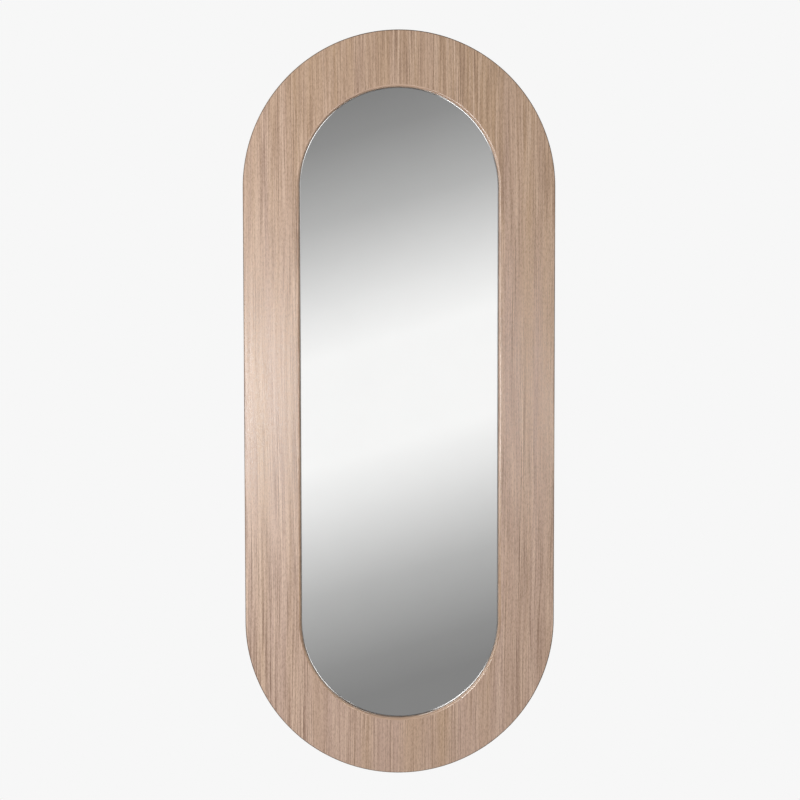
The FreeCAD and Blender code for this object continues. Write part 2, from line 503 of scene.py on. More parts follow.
@dataclass(frozen=True)
class GrainBend:
    """One way that the grain wanders sideways: a noise and how far it carries the grain."""

    scale: Place
    shift: float
    detail: float
    reach: float


@dataclass(frozen=True)
class GrainLayer:
    """One noise of the wood: cycles per metre across and along the grain, and the values where it sets in."""

    across: float
    along: float
    shift: float
    detail: float
    roughness: float
    span: Point


@dataclass(frozen=True)
class WoodFinish(Finish):
    """Pale straight-grained veneer under satin lacquer.

    Broad leaves of two tones carry streaks, pores, swirls, fibres, and dark and light lines that crowd in
    zones. A share says how far one of these changes the tone at most. The drift makes the wood sandier
    towards the top.
    """

    grain: Grain = Grain.UPRIGHT
    pink_tone: Colour = srgb(187, 158, 141)
    sand_tone: Colour = srgb(184, 153, 124)
    dark_line: Colour = srgb(136, 107, 89)
    light_line: Colour = srgb(208, 180, 158)
    pore_tone: Colour = srgb(108, 80, 60)
    roughness: Point = (0.24, 0.33)
    gloss: float = 0.65
    drift: float = 0.13
    shift: float = 0.0
    bends: tuple[GrainBend, ...] = (
        GrainBend((2.5, 1.0, 1.1), 3.1, 1.0, 30.0 * MM),
        GrainBend((16.0, 1.0, 5.0), 8.3, 2.0, 6.0 * MM),
    )
    leaves: GrainLayer = GrainLayer(16.0, 0.5, 1.7, 5.0, 0.65, (0.34, 0.66))
    streaks: GrainLayer = GrainLayer(110.0, 2.5, 5.9, 3.0, 0.7, (0.48, 0.72))
    lines: GrainLayer = GrainLayer(560.0, 5.0, 7.3, 1.0, 0.5, (0.5, 0.68))
    light_span: Point = (0.5, 0.32)
    zones: GrainLayer = GrainLayer(34.0, 1.2, 21.6, 2.0, 0.5, (0.35, 0.65))
    fibres: GrainLayer = GrainLayer(520.0, 150.0, 9.2, 1.0, 0.5, NOISE_SPAN)
    pores: GrainLayer = GrainLayer(420.0, 45.0, 12.4, 1.0, 0.5, (0.56, 0.68))
    swirls: GrainLayer = GrainLayer(170.0, 70.0, 17.8, 3.0, 0.6, (0.57, 0.72))
    streak_share: float = 0.1
    dark_share: float = 0.55
    light_share: float = 0.6
    crowding: Point = (0.55, 1.8)
    pore_span: Point = (0.4, 0.6)
    pore_crowding: Point = (0.25, 1.0)
    pore_share: float = 0.1
    swirl_share: float = 0.12
    fibre_shade: Point = (0.9, 1.1)
    fibre_relief: float = 0.5
    bump_strength: float = 0.25
    bump_depth: float = 0.2 * MM

    def coordinate(self, sketch: ShaderSketch) -> Socket:
        """Gives the grain's own coordinate: X across it, Z along it.

        Args:
            sketch: The material's sketch.

        Returns:
            The coordinate's output, in metres.
        """
        place = sketch.place()
        if self.grain is Grain.UPRIGHT:
            return place

        def limited(value: Socket, limit: float) -> Socket:
            """Keeps a value within a limit, up and down."""
            return sketch.math("MINIMUM", sketch.math("MAXIMUM", value, -limit), limit)

        outline = PillOutline.of_node("edge_band")
        depth, height = sketch.apart(place)[1:]
        level = limited(height, outline.straight)
        rise = sketch.math("DIVIDE", sketch.math("SUBTRACT", height, level), outline.radius)
        bent = sketch.math("ARCSINE", limited(rise, 1.0))
        return sketch.vector(x=depth, z=sketch.math("MULTIPLY_ADD", bent, outline.radius, level))

    def wandering(self, sketch: ShaderSketch, place: Socket) -> Socket:
        """Lets the grain wander sideways as it runs along.

        Args:
            sketch: The material's sketch.
            place: The grain's coordinate.

        Returns:
            The bent coordinate's output.
        """
        sideways: Value = 0.0
        for bend in self.bends:
            noise = sketch.noise(place, bend.scale, bend.shift + self.shift, bend.detail)
            sideways = sketch.math("MULTIPLY_ADD", sketch.math("SUBTRACT", noise, 0.5), bend.reach, sideways)
        return sketch.lay("ShaderNodeVectorMath", place, sketch.vector(x=sideways), operation="ADD")

    def draw(self, sketch: ShaderSketch) -> None:
        """Adds the wood's nodes.

        Args:
            sketch: The material's sketch.
        """
        grain = self.wandering(sketch, self.coordinate(sketch))

        def noise(layer: GrainLayer) -> Socket:
            """The noise of one layer."""
            scale = (layer.across, 0.0, layer.along)
            return sketch.noise(grain, scale, layer.shift + self.shift, layer.detail, layer.roughness)

        streaks = noise(self.streaks)
        lines = noise(self.lines)
        fibres = noise(self.fibres)

        sandier = sketch.math("MULTIPLY_ADD", sketch.apart(grain)[2], self.drift, noise(self.leaves))
        tone = sketch.mix(sketch.remap(sandier, self.leaves.span), self.pink_tone, self.sand_tone)
        streak_share = sketch.remap(streaks, self.streaks.span, (0.0, self.streak_share))
        tone = sketch.mix(streak_share, tone, self.dark_line)
        crowding = sketch.remap(noise(self.zones), self.zones.span, self.crowding)
        for span, most, line_tone in (
            (self.lines.span, self.dark_share, self.dark_line),
            (self.light_span, self.light_share, self.light_line),
        ):
            share = sketch.times(sketch.remap(lines, span, (0.0, most)), crowding)
            tone = sketch.mix(share, tone, line_tone)
        pores = sketch.remap(noise(self.pores), self.pores.span)
        pores = sketch.times(pores, sketch.remap(streaks, self.pore_span, self.pore_crowding))
        tone = sketch.mix(sketch.times(pores, self.pore_share), tone, self.pore_tone)
        swirl_share = sketch.remap(noise(self.swirls), self.swirls.span, (0.0, self.swirl_share))
        tone = sketch.mix(swirl_share, tone, self.dark_line)
        shade = sketch.remap(fibres, self.fibres.span, self.fibre_shade)
        tone = sketch.mix(1.0, tone, sketch.vector(shade, shade, shade), "MULTIPLY")

        relief = sketch.math("SUBTRACT", sketch.times(fibres, self.fibre_relief), pores)
        sketch.surface(
            {
                "Base Color": tone,
                "Roughness": sketch.remap(fibres, self.fibres.span, self.roughness),
                "Specular IOR Level": self.gloss,
                "Normal": sketch.bump(relief, self.bump_strength, self.bump_depth),
            }
        )


@dataclass(frozen=True)
class GlassFinish(Finish):
    """Clear float glass, faintly green through its depth."""

    index: float = 1.52
    tint: Colour = (0.5, 0.8, 0.62)
    density: float = 1.0
    haze: float = 0.004
    haze_scale: Place = (7.0, 7.0, 5.0)
    haze_span: Point = (0.55, 0.8)

    def draw(self, sketch: ShaderSketch) -> None:
        """Adds the glass's nodes.

        Args:
            sketch: The material's sketch.
        """
        clouds = sketch.noise(sketch.place(), self.haze_scale, shift=2.2, detail=3.0)
        volume = sketch.make("ShaderNodeVolumeAbsorption", {"Color": self.tint, "Density": self.density})
        sketch.surface(
            {
                "Base Color": WHITE,
                "Roughness": sketch.remap(clouds, self.haze_span, (0.0, self.haze)),
                "IOR": self.index,
                "Transmission Weight": 1.0,
            },
            volume,
        )


@dataclass(frozen=True)
class MetalFinish(Finish):
    """Plated or silvered metal with fine cloudy differences in its polish."""

    bright: Colour
    dull: Colour
    roughness: Point
    cloud_scale: float
    bump_depth: float
    tone_span: Point = (0.4, 0.7)
    bump_strength: float = 0.3

    def draw(self, sketch: ShaderSketch) -> None:
        """Adds the metal's nodes.

        Args:
            sketch: The material's sketch.
        """
        scale = (self.cloud_scale,) * 3
        clouds = sketch.noise(sketch.place(), scale, shift=4.4, detail=4.0, roughness=0.6)
        inputs = {
            "Base Color": sketch.mix(sketch.remap(clouds, self.tone_span), self.bright, self.dull),
            "Metallic": 1.0,
            "Roughness": sketch.remap(clouds, NOISE_SPAN, self.roughness),
        }
        if self.bump_depth:
            inputs["Normal"] = sketch.bump(clouds, self.bump_strength, self.bump_depth)
        sketch.surface(inputs)


@dataclass(frozen=True)
class SpeckledFinish(Finish):
    """Dull material with a fine two-tone grain: rubber, foam, film, adhesive, fibreboard or floor."""

    light: Colour
    dark: Colour
    roughness: Point
    grain_scale: float
    bump_depth: float
    broad_share: float = 0.06
    tone_span: Point = (0.35, 0.65)
    bump_strength: float = 0.4

    def draw(self, sketch: ShaderSketch) -> None:
        """Adds the material's nodes.

        Args:
            sketch: The material's sketch.
        """
        place = sketch.place()
        fine = sketch.noise(place, (self.grain_scale,) * 3, shift=6.6, detail=3.0, roughness=0.6)
        broad = sketch.noise(place, (self.grain_scale * self.broad_share,) * 3, shift=1.3)
        average = sketch.times(sketch.math("ADD", fine, broad), 0.5)
        sketch.surface(
            {
                "Base Color": sketch.mix(sketch.remap(average, self.tone_span), self.light, self.dark),
                "Roughness": sketch.remap(fine, NOISE_SPAN, self.roughness),
                "Normal": sketch.bump(fine, self.bump_strength, self.bump_depth),
            }
        )


FACE_WOOD = WoodFinish("face_wood")
BACK_WOOD = WoodFinish("back_wood", roughness=(0.5, 0.65), shift=23.0)
# The edge band's tones are darker than the face veneer's: partly the band's own darker tone, partly painted
# shade of the outer edge where it turns away from the light.
EDGE_WOOD_WITH_PAINTED_SHADE = WoodFinish(
    "edge_wood",
    Grain.ALONG_STRIP,
    pink_tone=srgb(126, 106, 93),
    sand_tone=srgb(118, 99, 82),
    dark_line=srgb(102, 81, 67),
    light_line=srgb(148, 129, 113),
    roughness=(0.45, 0.6),
    gloss=0.25,
    shift=41.0,
)
LIPPING_WOOD = WoodFinish("lipping_wood", Grain.ALONG_STRIP, roughness=(0.16, 0.22), shift=57.0)
GLASS = GlassFinish("float_glass")
SILVER = MetalFinish("silver", (0.93, 0.93, 0.925), (0.92, 0.92, 0.915), (0.0, 0.004), 9.0, 0.0)
ZINC = MetalFinish("zinc_plate", (0.62, 0.63, 0.64), (0.5, 0.51, 0.52), (0.22, 0.4), 420.0, 0.02 * MM)
NICKEL = MetalFinish(
    "nickel_plate", (0.68, 0.66, 0.62), (0.58, 0.56, 0.53), (0.12, 0.24), 300.0, 0.01 * MM
)
RUBBER = SpeckledFinish(
    "black_rubber", (0.03, 0.03, 0.031), (0.014, 0.014, 0.015), (0.55, 0.75), 1400.0, 0.04 * MM
)
FOAM = SpeckledFinish("white_foam", (0.75, 0.75, 0.73), (0.6, 0.6, 0.58), (0.7, 0.9), 1800.0, 0.08 * MM)
# The film's dark brown is partly its own backing tone and partly painted shade: seen through the bare margin
# round the silver, it draws the dark shade line round the glass.
FILM_WITH_PAINTED_SHADE = SpeckledFinish(
    "safety_film", (0.075, 0.058, 0.047), (0.055, 0.042, 0.034), (0.35, 0.5), 700.0, 0.02 * MM
)
ADHESIVE = SpeckledFinish(
    "mirror_adhesive", (0.66, 0.62, 0.55), (0.56, 0.52, 0.45), (0.4, 0.6), 260.0, 0.1 * MM
)
FIBREBOARD = SpeckledFinish(
    "fibreboard", (0.4, 0.28, 0.18), (0.3, 0.2, 0.125), (0.75, 0.9), 1500.0, 0.06 * MM
)
FLOOR = SpeckledFinish("pale_floor", (0.8, 0.8, 0.79), (0.77, 0.77, 0.76), (0.6, 0.7), 40.0, 0.1 * MM)


def paint(mesh: bpy.types.Mesh, material: bpy.types.Material) -> None:
    """Makes a finish the only material of a mesh."""
    mesh.materials.clear()
    mesh.materials.append(material)


def put_in_scene(name: str, mesh: bpy.types.Mesh, material: bpy.types.Material) -> bpy.types.Object:
    """Gives a finished mesh its object and material.

    Args:
        name: The piece's name.
        mesh: Its mesh, already in place.
        material: Its finish.

    Returns:
        The linked object.
    """
    paint(mesh, material)
    piece = bpy.data.objects.new(name, mesh)
    bpy.context.scene.collection.objects.link(piece)
    return piece


def stand_for(
    node: str, mesh: bpy.types.Mesh, material: bpy.types.Material, body: str = ROOT_BODY
) -> bpy.types.Object:
    """Puts a finished mesh in the place of a CAD node and logs it.

    Args:
        node: The CAD node that it replaces.
        mesh: The finished mesh.
        material: Its finish.
        body: The body that it moves with.

    Returns:
        The piece.
    """
    piece = put_in_scene(mesh.name, mesh, material)
    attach(piece, body)
    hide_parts(node)
    log.info("%s stands for %s on %s, %d faces", piece.name, node, body, len(mesh.polygons))
    return piece


def dress(frame: dict, node: str, material: bpy.types.Material) -> None:
    """Gives a CAD node that stays its finish, and logs it."""
    paint(frame["nodes"][node].data, material)
    log.info("%s keeps its solid, finish %s", node, material.name)


def shade(mesh: bpy.types.Mesh, sharp_angle: float = SHARP_ANGLE) -> bpy.types.Mesh:
    """Shades a mesh smooth except at its sharp edges.

    Args:
        mesh: The mesh.
        sharp_angle: Angle between faces that stays sharp, in degrees.

    Returns:
        The same mesh.
    """
    mesh.shade_smooth()
    mesh.set_sharp_from_angle(angle=math.radians(sharp_angle))
    return mesh


def mesh_from(name: str, work: bmesh.types.BMesh, sharp_angle: float = SHARP_ANGLE) -> bpy.types.Mesh:
    """Turns working geometry into a clean, outward-facing mesh.

    Args:
        name: The mesh's name.
        work: The working geometry, which is freed.
        sharp_angle: Angle between faces that stays sharp, in degrees.

    Returns:
        The mesh.
    """
    bmesh.ops.remove_doubles(work, verts=work.verts, dist=WELD_DISTANCE)
    bmesh.ops.recalc_face_normals(work, faces=work.faces)
    mesh = bpy.data.meshes.new(name)
    work.to_mesh(mesh)
    work.free()
    return shade(mesh, sharp_angle)


def pill_solid(
    name: str,
    outline: PillOutline,
    section: list[Point],
    is_ring: bool = False,
    sharp_angle: float = SHARP_ANGLE,
) -> bpy.types.Mesh:
    """A closed slab or ring of pill outline with any edge profile.

    Args:
        name: The mesh's name.
        outline: Its outer outline.
        section: Profile as (inset, depth) points: a slab's from front to back, a ring's all the way round.
        is_ring: Whether it is a ring, and not a slab with a flat front and back.
        sharp_angle: Angle between faces that stays sharp, in degrees.

    Returns:
        The mesh.
    """
    work = bmesh.new()
    loops = [[work.verts.new((x, y, z)) for x, z in outline.points(inset)] for inset, y in section]
    pairs = list(zip(loops, loops[1:]))
    if is_ring:
        pairs.append((loops[-1], loops[0]))
    else:
        work.faces.new(loops[0])
        work.faces.new(reversed(loops[-1]))
    for loop, following in pairs:
        for i in range(len(loop)):
            work.faces.new((loop[i - 1], following[i - 1], following[i], loop[i]))
    return mesh_from(name, work, sharp_angle)


def flat_sheet(node: str, bite: float = 0.0) -> bpy.types.Mesh:
    """A plain pill-shaped sheet that fills a CAD node's box and bites into the piece before it."""
    low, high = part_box(node)
    return pill_solid(f"{node}_sheet", PillOutline.of_node(node), [(0.0, low.y - bite), (0.0, high.y)])


@dataclass
class VeneeredFrame:
    """The frame and its back panel: cores, veneers, edge band and the lipping of the opening."""

    frame: dict
    joint_gap: float = 0.2 * MM
    band_round: float = 1.5 * MM
    lipping_thickness: float = 6.0 * MM
    lipping_round: float = 5.5 * MM
    arc_steps: int = 80
    round_steps: int = 6

    def build(self) -> None:
        """Builds and dresses the whole frame."""
        fibreboard = FIBREBOARD.material()
        stand_for("face_veneer", self.face(), FACE_WOOD.material())
        stand_for("back_veneer", flat_sheet("back_veneer"), BACK_WOOD.material())
        # The edge band's darker tone is partly painted shade along the outer edge.
        stand_for("edge_band", self.edge_band(), EDGE_WOOD_WITH_PAINTED_SHADE.material())
        stand_for("opening_lipping", self.lipping(), LIPPING_WOOD.material())
        for node in ("frame_core", "back_panel"):
            dress(self.frame, node, fibreboard)

    @staticmethod
    def face() -> bpy.types.Mesh:
        """The face veneer: a ring between the edge band and the lipping.

        Returns:
            The mesh.
        """
        low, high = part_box("face_veneer")
        hole = high.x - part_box("opening_lipping")[1].x
        section = [(0.0, low.y), (0.0, high.y), (hole, high.y), (hole, low.y)]
        return pill_solid("face_veneer_ring", PillOutline.of_node("face_veneer"), section, is_ring=True)

    @staticmethod
    def strip_tree() -> bpy.types.NodeTree:
        """A strip with rounded corners swept round a pill-shaped path, with a butt joint at the bottom.

        Returns:
            The Geometry Nodes group.
        """
        sketch = GeometrySketch("bent_strip")
        width, height, thickness, depth = sketch.sizes("Width", "Height", "Thickness", "Depth")
        joint, middle = sketch.sizes("Joint Gap", "Middle Depth")
        arc_steps, round_steps = sketch.counts("Arc Steps", "Round Steps")
        index = sketch.make("GeometryNodeInputIndex", {})
        rounding: Value = 0.0
        for i in range(4):
            here = sketch.math("COMPARE", index, float(i), 0.5)
            rounding = sketch.math("MULTIPLY_ADD", here, sketch.size(f"Corner {i} Round"), rounding)
        path_width = sketch.math("SUBTRACT", width, thickness)
        path_height = sketch.math("SUBTRACT", height, thickness)
        path = sketch.rounded_rectangle(path_width, path_height, sketch.times(path_width, 0.5), arc_steps)
        profile = sketch.rounded_rectangle(thickness, depth, rounding, round_steps)
        strip = sketch.swept(path, profile)
        knife_size = sketch.vector(joint, sketch.times(thickness, 4.0), sketch.times(depth, 2.0))
        knife = sketch.make("GeometryNodeMeshCube", {"Size": knife_size})
        bottom = sketch.times(height, -0.5)
        open_strip = sketch.cut(strip, sketch.moved(knife, sketch.vector(y=bottom)))
        return sketch.finished(sketch.moved(open_strip, sketch.vector(y=middle), STOOD_UP))

    def strip(self, node: str, thickness: float, rounds: tuple[float, ...]) -> bpy.types.Mesh:
        """A bent strip that stands for a CAD node.

        Args:
            node: The CAD node.
            thickness: The strip's thickness, across the edge.
            rounds: Radius of each of its section's four corners.

        Returns:
            The mesh.
        """
        low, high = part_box(node)
        outline = PillOutline.of_node(node)
        values = {
            "Width": outline.width,
            "Height": outline.height,
            "Thickness": thickness,
            "Depth": high.y - low.y,
            "Middle Depth": (low.y + high.y) / 2,
            "Joint Gap": self.joint_gap,
            "Arc Steps": self.arc_steps,
            "Round Steps": self.round_steps,
        }
        values |= {f"Corner {i} Round": radius for i, radius in enumerate(rounds)}
        return shade(grown(f"{node}_strip", self.strip_tree(), [ORIGIN], values))

    def edge_band(self) -> bpy.types.Mesh:
        """The band round the outside, rounded at front and back."""
        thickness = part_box("edge_band")[1].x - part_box("face_veneer")[1].x
        return self.strip("edge_band", thickness, (self.band_round, 0.0, 0.0, self.band_round))

    def lipping(self) -> bpy.types.Mesh:
        """The lipping round the opening, rounded over at the inside of its front."""
        return self.strip("opening_lipping", self.lipping_thickness, (0.0, 0.0, self.lipping_round, 0.0))


def hide_lamps_from(piece: bpy.types.Object) -> None:
    """Keeps the lamps' own shapes out of what a piece reflects.

    Args:
        piece: The piece, which the lamps then leave unlit.
    """
    unlit = bpy.data.collections.new("unlit_by_lamps")
    unlit.objects.link(piece)
    unlit.collection_objects[0].light_linking.link_state = "EXCLUDE"
    for lamp in bpy.context.scene.objects:
        if lamp.type == "LIGHT":
            lamp.light_linking.receiver_collection = unlit


@dataclass
class MirrorPane:
    """The glass, its silvered back and what holds it to the back panel."""

    frame: dict
    arris: float = 0.8 * MM
    silver_bite: float = 0.05 * MM
    sharp_angle: float = 8.0

    def build(self) -> None:
        """Builds and dresses the pane, whose glass shows the studio without its lamps."""
        hide_lamps_from(stand_for("mirror_glass", self.glass(), GLASS.material()))
        silver = flat_sheet("silver_coating", self.silver_bite)
        stand_for("silver_coating", silver, SILVER.material())
        # The dark film round the silver paints the shade line round the glass.
        stand_for("safety_film", flat_sheet("safety_film"), FILM_WITH_PAINTED_SHADE.material())
        dress(self.frame, "mounting_tapes", FOAM.material())
        dress(self.frame, "adhesive_beads", ADHESIVE.material())

    def glass(self) -> bpy.types.Mesh:
        """The pane, with a small chamfer round both faces.

        Returns:
            The mesh.
        """
        low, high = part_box("mirror_glass")
        section = [
            (self.arris, low.y),
            (0.0, low.y + self.arris),
            (0.0, high.y - self.arris),
            (self.arris, high.y),
        ]
        outline = PillOutline.of_node("mirror_glass")
        return pill_solid("mirror_glass_pane", outline, section, sharp_angle=self.sharp_angle)


@dataclass(frozen=True)
class WoodScrews:
    """Pan-head wood screws with a cross recess and a thread, pointing from the wall into the frame."""

    head_radius: float = 4.0 * MM
    head_height: float = 2.4 * MM
    head_round: float = 1.2 * MM
    shank_radius: float = 2.0 * MM
    point_length: float = 4.0 * MM
    point_radius: float = 0.2 * MM
    recess_length: float = 4.4 * MM
    recess_width: float = 0.9 * MM
    recess_depth: float = 1.3 * MM
    thread_pitch: float = 1.8 * MM
    thread_height: float = 0.35 * MM
    head_sides: int = 48
    head_steps: int = 12
    shank_sides: int = 32
    turn_steps: int = 24
    ridge_sides: int = 4
    seed: int = 7
    sharp_angle: float = 35.0

    def tree(self) -> bpy.types.NodeTree:
        """One screw from simple solids, copied to every point; Z = 0 is where its head sits.

        Returns:
            The Geometry Nodes group.
        """
        sketch = GeometrySketch("wood_screws")
        head = self.head(sketch)
        length, radius, point_length = sketch.sizes("Length", "Shank Radius", "Point Length")
        shank_length = sketch.math("SUBTRACT", length, point_length)
        sides = {"Vertices": self.shank_sides}
        shank = sketch.make("GeometryNodeMeshCylinder", {**sides, "Radius": radius, "Depth": shank_length})
        shank = sketch.moved(shank, sketch.vector(z=sketch.times(shank_length, -0.5)))
        taper = {"Radius Top": radius, "Radius Bottom": sketch.size("Point Radius")}
        point = sketch.make("GeometryNodeMeshCone", {**sides, **taper, "Depth": point_length})
        point = sketch.moved(point, sketch.vector(z=sketch.times(length, -1.0)))
        screw = sketch.cut(sketch.joined(head, shank, point), *self.recess(sketch))
        both = sketch.add("GeometryNodeJoinGeometry")
        for shape in (self.thread(sketch, radius, shank_length), screw):
            sketch.feed(both.inputs[0], shape)
        return sketch.finished(sketch.at_points(both.outputs[0]))

    def head(self, sketch: GeometrySketch) -> Socket:
        """The head: a cylinder drawn in towards its top along a quarter circle.

        Args:
            sketch: The group's sketch.

        Returns:
            The head's output.
        """
        radius, height, rounding = sketch.sizes("Head Radius", "Head Height", "Head Round")
        sides = {"Vertices": self.head_sides, "Side Segments": self.head_steps}
        drum = sketch.make("GeometryNodeMeshCylinder", {**sides, "Radius": radius, "Depth": height})
        drum = sketch.moved(drum, sketch.vector(z=sketch.times(height, 0.5)))
        x, y, z = sketch.apart(sketch.make("GeometryNodeInputPosition", {}))
        rise = sketch.math("ADD", sketch.math("SUBTRACT", z, height), rounding)
        rise = sketch.math("MAXIMUM", rise, 0.0)
        left = sketch.math("SUBTRACT", *(sketch.math("POWER", side, 2.0) for side in (rounding, rise)))
        left = sketch.math("SQRT", sketch.math("MAXIMUM", left, 0.0))
        drawn_in = sketch.math("SUBTRACT", rounding, left)
        share = sketch.math("SUBTRACT", 1.0, sketch.math("DIVIDE", drawn_in, radius))
        place = sketch.vector(*(sketch.times(side, share) for side in (x, y)), z)
        return sketch.make("GeometryNodeSetPosition", {"Geometry": drum, "Position": place})

    @staticmethod
    def recess(sketch: GeometrySketch) -> list[Socket]:
        """The two blocks that are cut out of the head as a cross.

        Args:
            sketch: The group's sketch.

        Returns:
            The blocks' outputs.
        """
        length, width, depth = sketch.sizes("Recess Length", "Recess Width", "Recess Depth")
        tall = sketch.times(depth, 2.0)
        top = sketch.vector(z=sketch.start.outputs["Head Height"])
        sizes = (sketch.vector(length, width, tall), sketch.vector(width, length, tall))
        return [sketch.moved(sketch.make("GeometryNodeMeshCube", {"Size": size}), top) for size in sizes]

    def thread(self, sketch: GeometrySketch, radius: Socket, length: Socket) -> Socket:
        """The thread, wound round the shank.

        Args:
            sketch: The group's sketch.
            radius: The shank's radius.
            length: The thread's length.

        Returns:
            The thread's output.
        """
        pitch, ridge_height = sketch.sizes("Thread Pitch", "Thread Height")
        turns = sketch.math("DIVIDE", length, pitch)
        coil = {"Resolution": self.turn_steps, "Rotations": turns, "Height": length}
        ends = {"Start Radius": radius, "End Radius": radius}
        wind = sketch.make("GeometryNodeCurveSpiral", {**coil, **ends})
        section = {"Resolution": self.ridge_sides, "Radius": ridge_height}
        ridge = sketch.make("GeometryNodeCurvePrimitiveCircle", section)
        swept = {"Curve": wind, "Profile Curve": ridge, "Fill Caps": True}
        thread = sketch.make("GeometryNodeCurveToMesh", swept)
        return sketch.moved(thread, sketch.vector(z=sketch.times(length, -1.0)))

    def mesh(self, node: str, places: list[Place], length: float) -> bpy.types.Mesh:
        """All screws of one CAD node.

        Args:
            node: The CAD node.
            places: Where their heads sit.
            length: Length under the head.

        Returns:
            The mesh.
        """
        values = {name.replace("_", " ").title(): value for name, value in asdict(self).items()}
        values["Length"] = length
        return shade(grown(f"{node}_set", self.tree(), places, values), self.sharp_angle)


@dataclass
class RingHanger:
    """One strap hanger: strap, turning wire ring and screws."""

    frame: dict
    side: Side
    screws: WoodScrews
    screw_drops: tuple[float, float, float] = (10.5 * MM, 29.0 * MM, 47.0 * MM)
    strap_thickness: float = 1.5 * MM
    ring_corner: float = 4.0 * MM
    wire_steps: int = 28
    bend_steps: int = 24
    sharp_angle: float = 60.0

    def build(self) -> None:
        """Builds and dresses the hanger."""
        word = self.side.word
        dress(self.frame, f"hanger_strap_{word}", ZINC.material())
        stand_for(f"hanger_ring_{word}", self.ring(), NICKEL.material(), f"{word}_ring")
        node = f"hanger_screws_{word}"
        stand_for(node, self.screw_mesh(node), ZINC.material())

    @staticmethod
    def ring_tree() -> bpy.types.NodeTree:
        """Wire swept round a path with two tight lower corners and a half-round crown.

        Returns:
            The Geometry Nodes group.
        """
        sketch = GeometrySketch("wire_ring")
        width, height, wire, corner = sketch.sizes("Width", "Height", "Wire Radius", "Corner Radius")
        wire_steps, bend_steps = sketch.counts("Wire Steps", "Bend Steps")
        # A rectangle's corners 0 and 1 are the upper ones, 2 and 3 the lower ones.
        lower = sketch.math("GREATER_THAN", sketch.make("GeometryNodeInputIndex", {}), 1.5)
        crown = sketch.times(width, 0.5)
        rounding = sketch.math("MULTIPLY_ADD", lower, sketch.math("SUBTRACT", corner, crown), crown)
        path = sketch.rounded_rectangle(width, height, rounding, bend_steps)
        section = {"Resolution": wire_steps, "Radius": wire}
        ring = sketch.swept(path, sketch.make("GeometryNodeCurvePrimitiveCircle", section))
        return sketch.finished(sketch.moved(ring, ORIGIN, STOOD_UP))

    def ring(self) -> bpy.types.Mesh:
        """The ring, upright in place.

        Returns:
            The mesh.
        """
        node = f"hanger_ring_{self.side.word}"
        low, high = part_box(node)
        wire = (high.y - low.y) / 2
        values = {
            "Width": high.x - low.x - 2 * wire,
            "Height": high.z - low.z - 2 * wire,
            "Wire Radius": wire,
            "Corner Radius": self.ring_corner,
            "Wire Steps": self.wire_steps,
            "Bend Steps": self.bend_steps,
        }
        mesh = grown(f"{node}_wire", self.ring_tree(), [ORIGIN], values)
        middle = (low + high) / 2
        for vertex in mesh.vertices:
            vertex.co += middle
        return shade(mesh, self.sharp_angle)

    def screw_mesh(self, node: str) -> bpy.types.Mesh:
        """The strap's three screws.

        Args:
            node: The CAD node that they stand for.

        Returns:
            The mesh.
        """
        low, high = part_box(node)
        panel_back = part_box("back_veneer")[1].y
        seat = panel_back + self.strap_thickness
        top = high.z - self.screws.head_radius + self.screw_drops[0]
        middle = (low.x + high.x) / 2
        places = [(middle, seat, top - drop) for drop in self.screw_drops]
        return self.screws.mesh(node, places, seat - low.y)


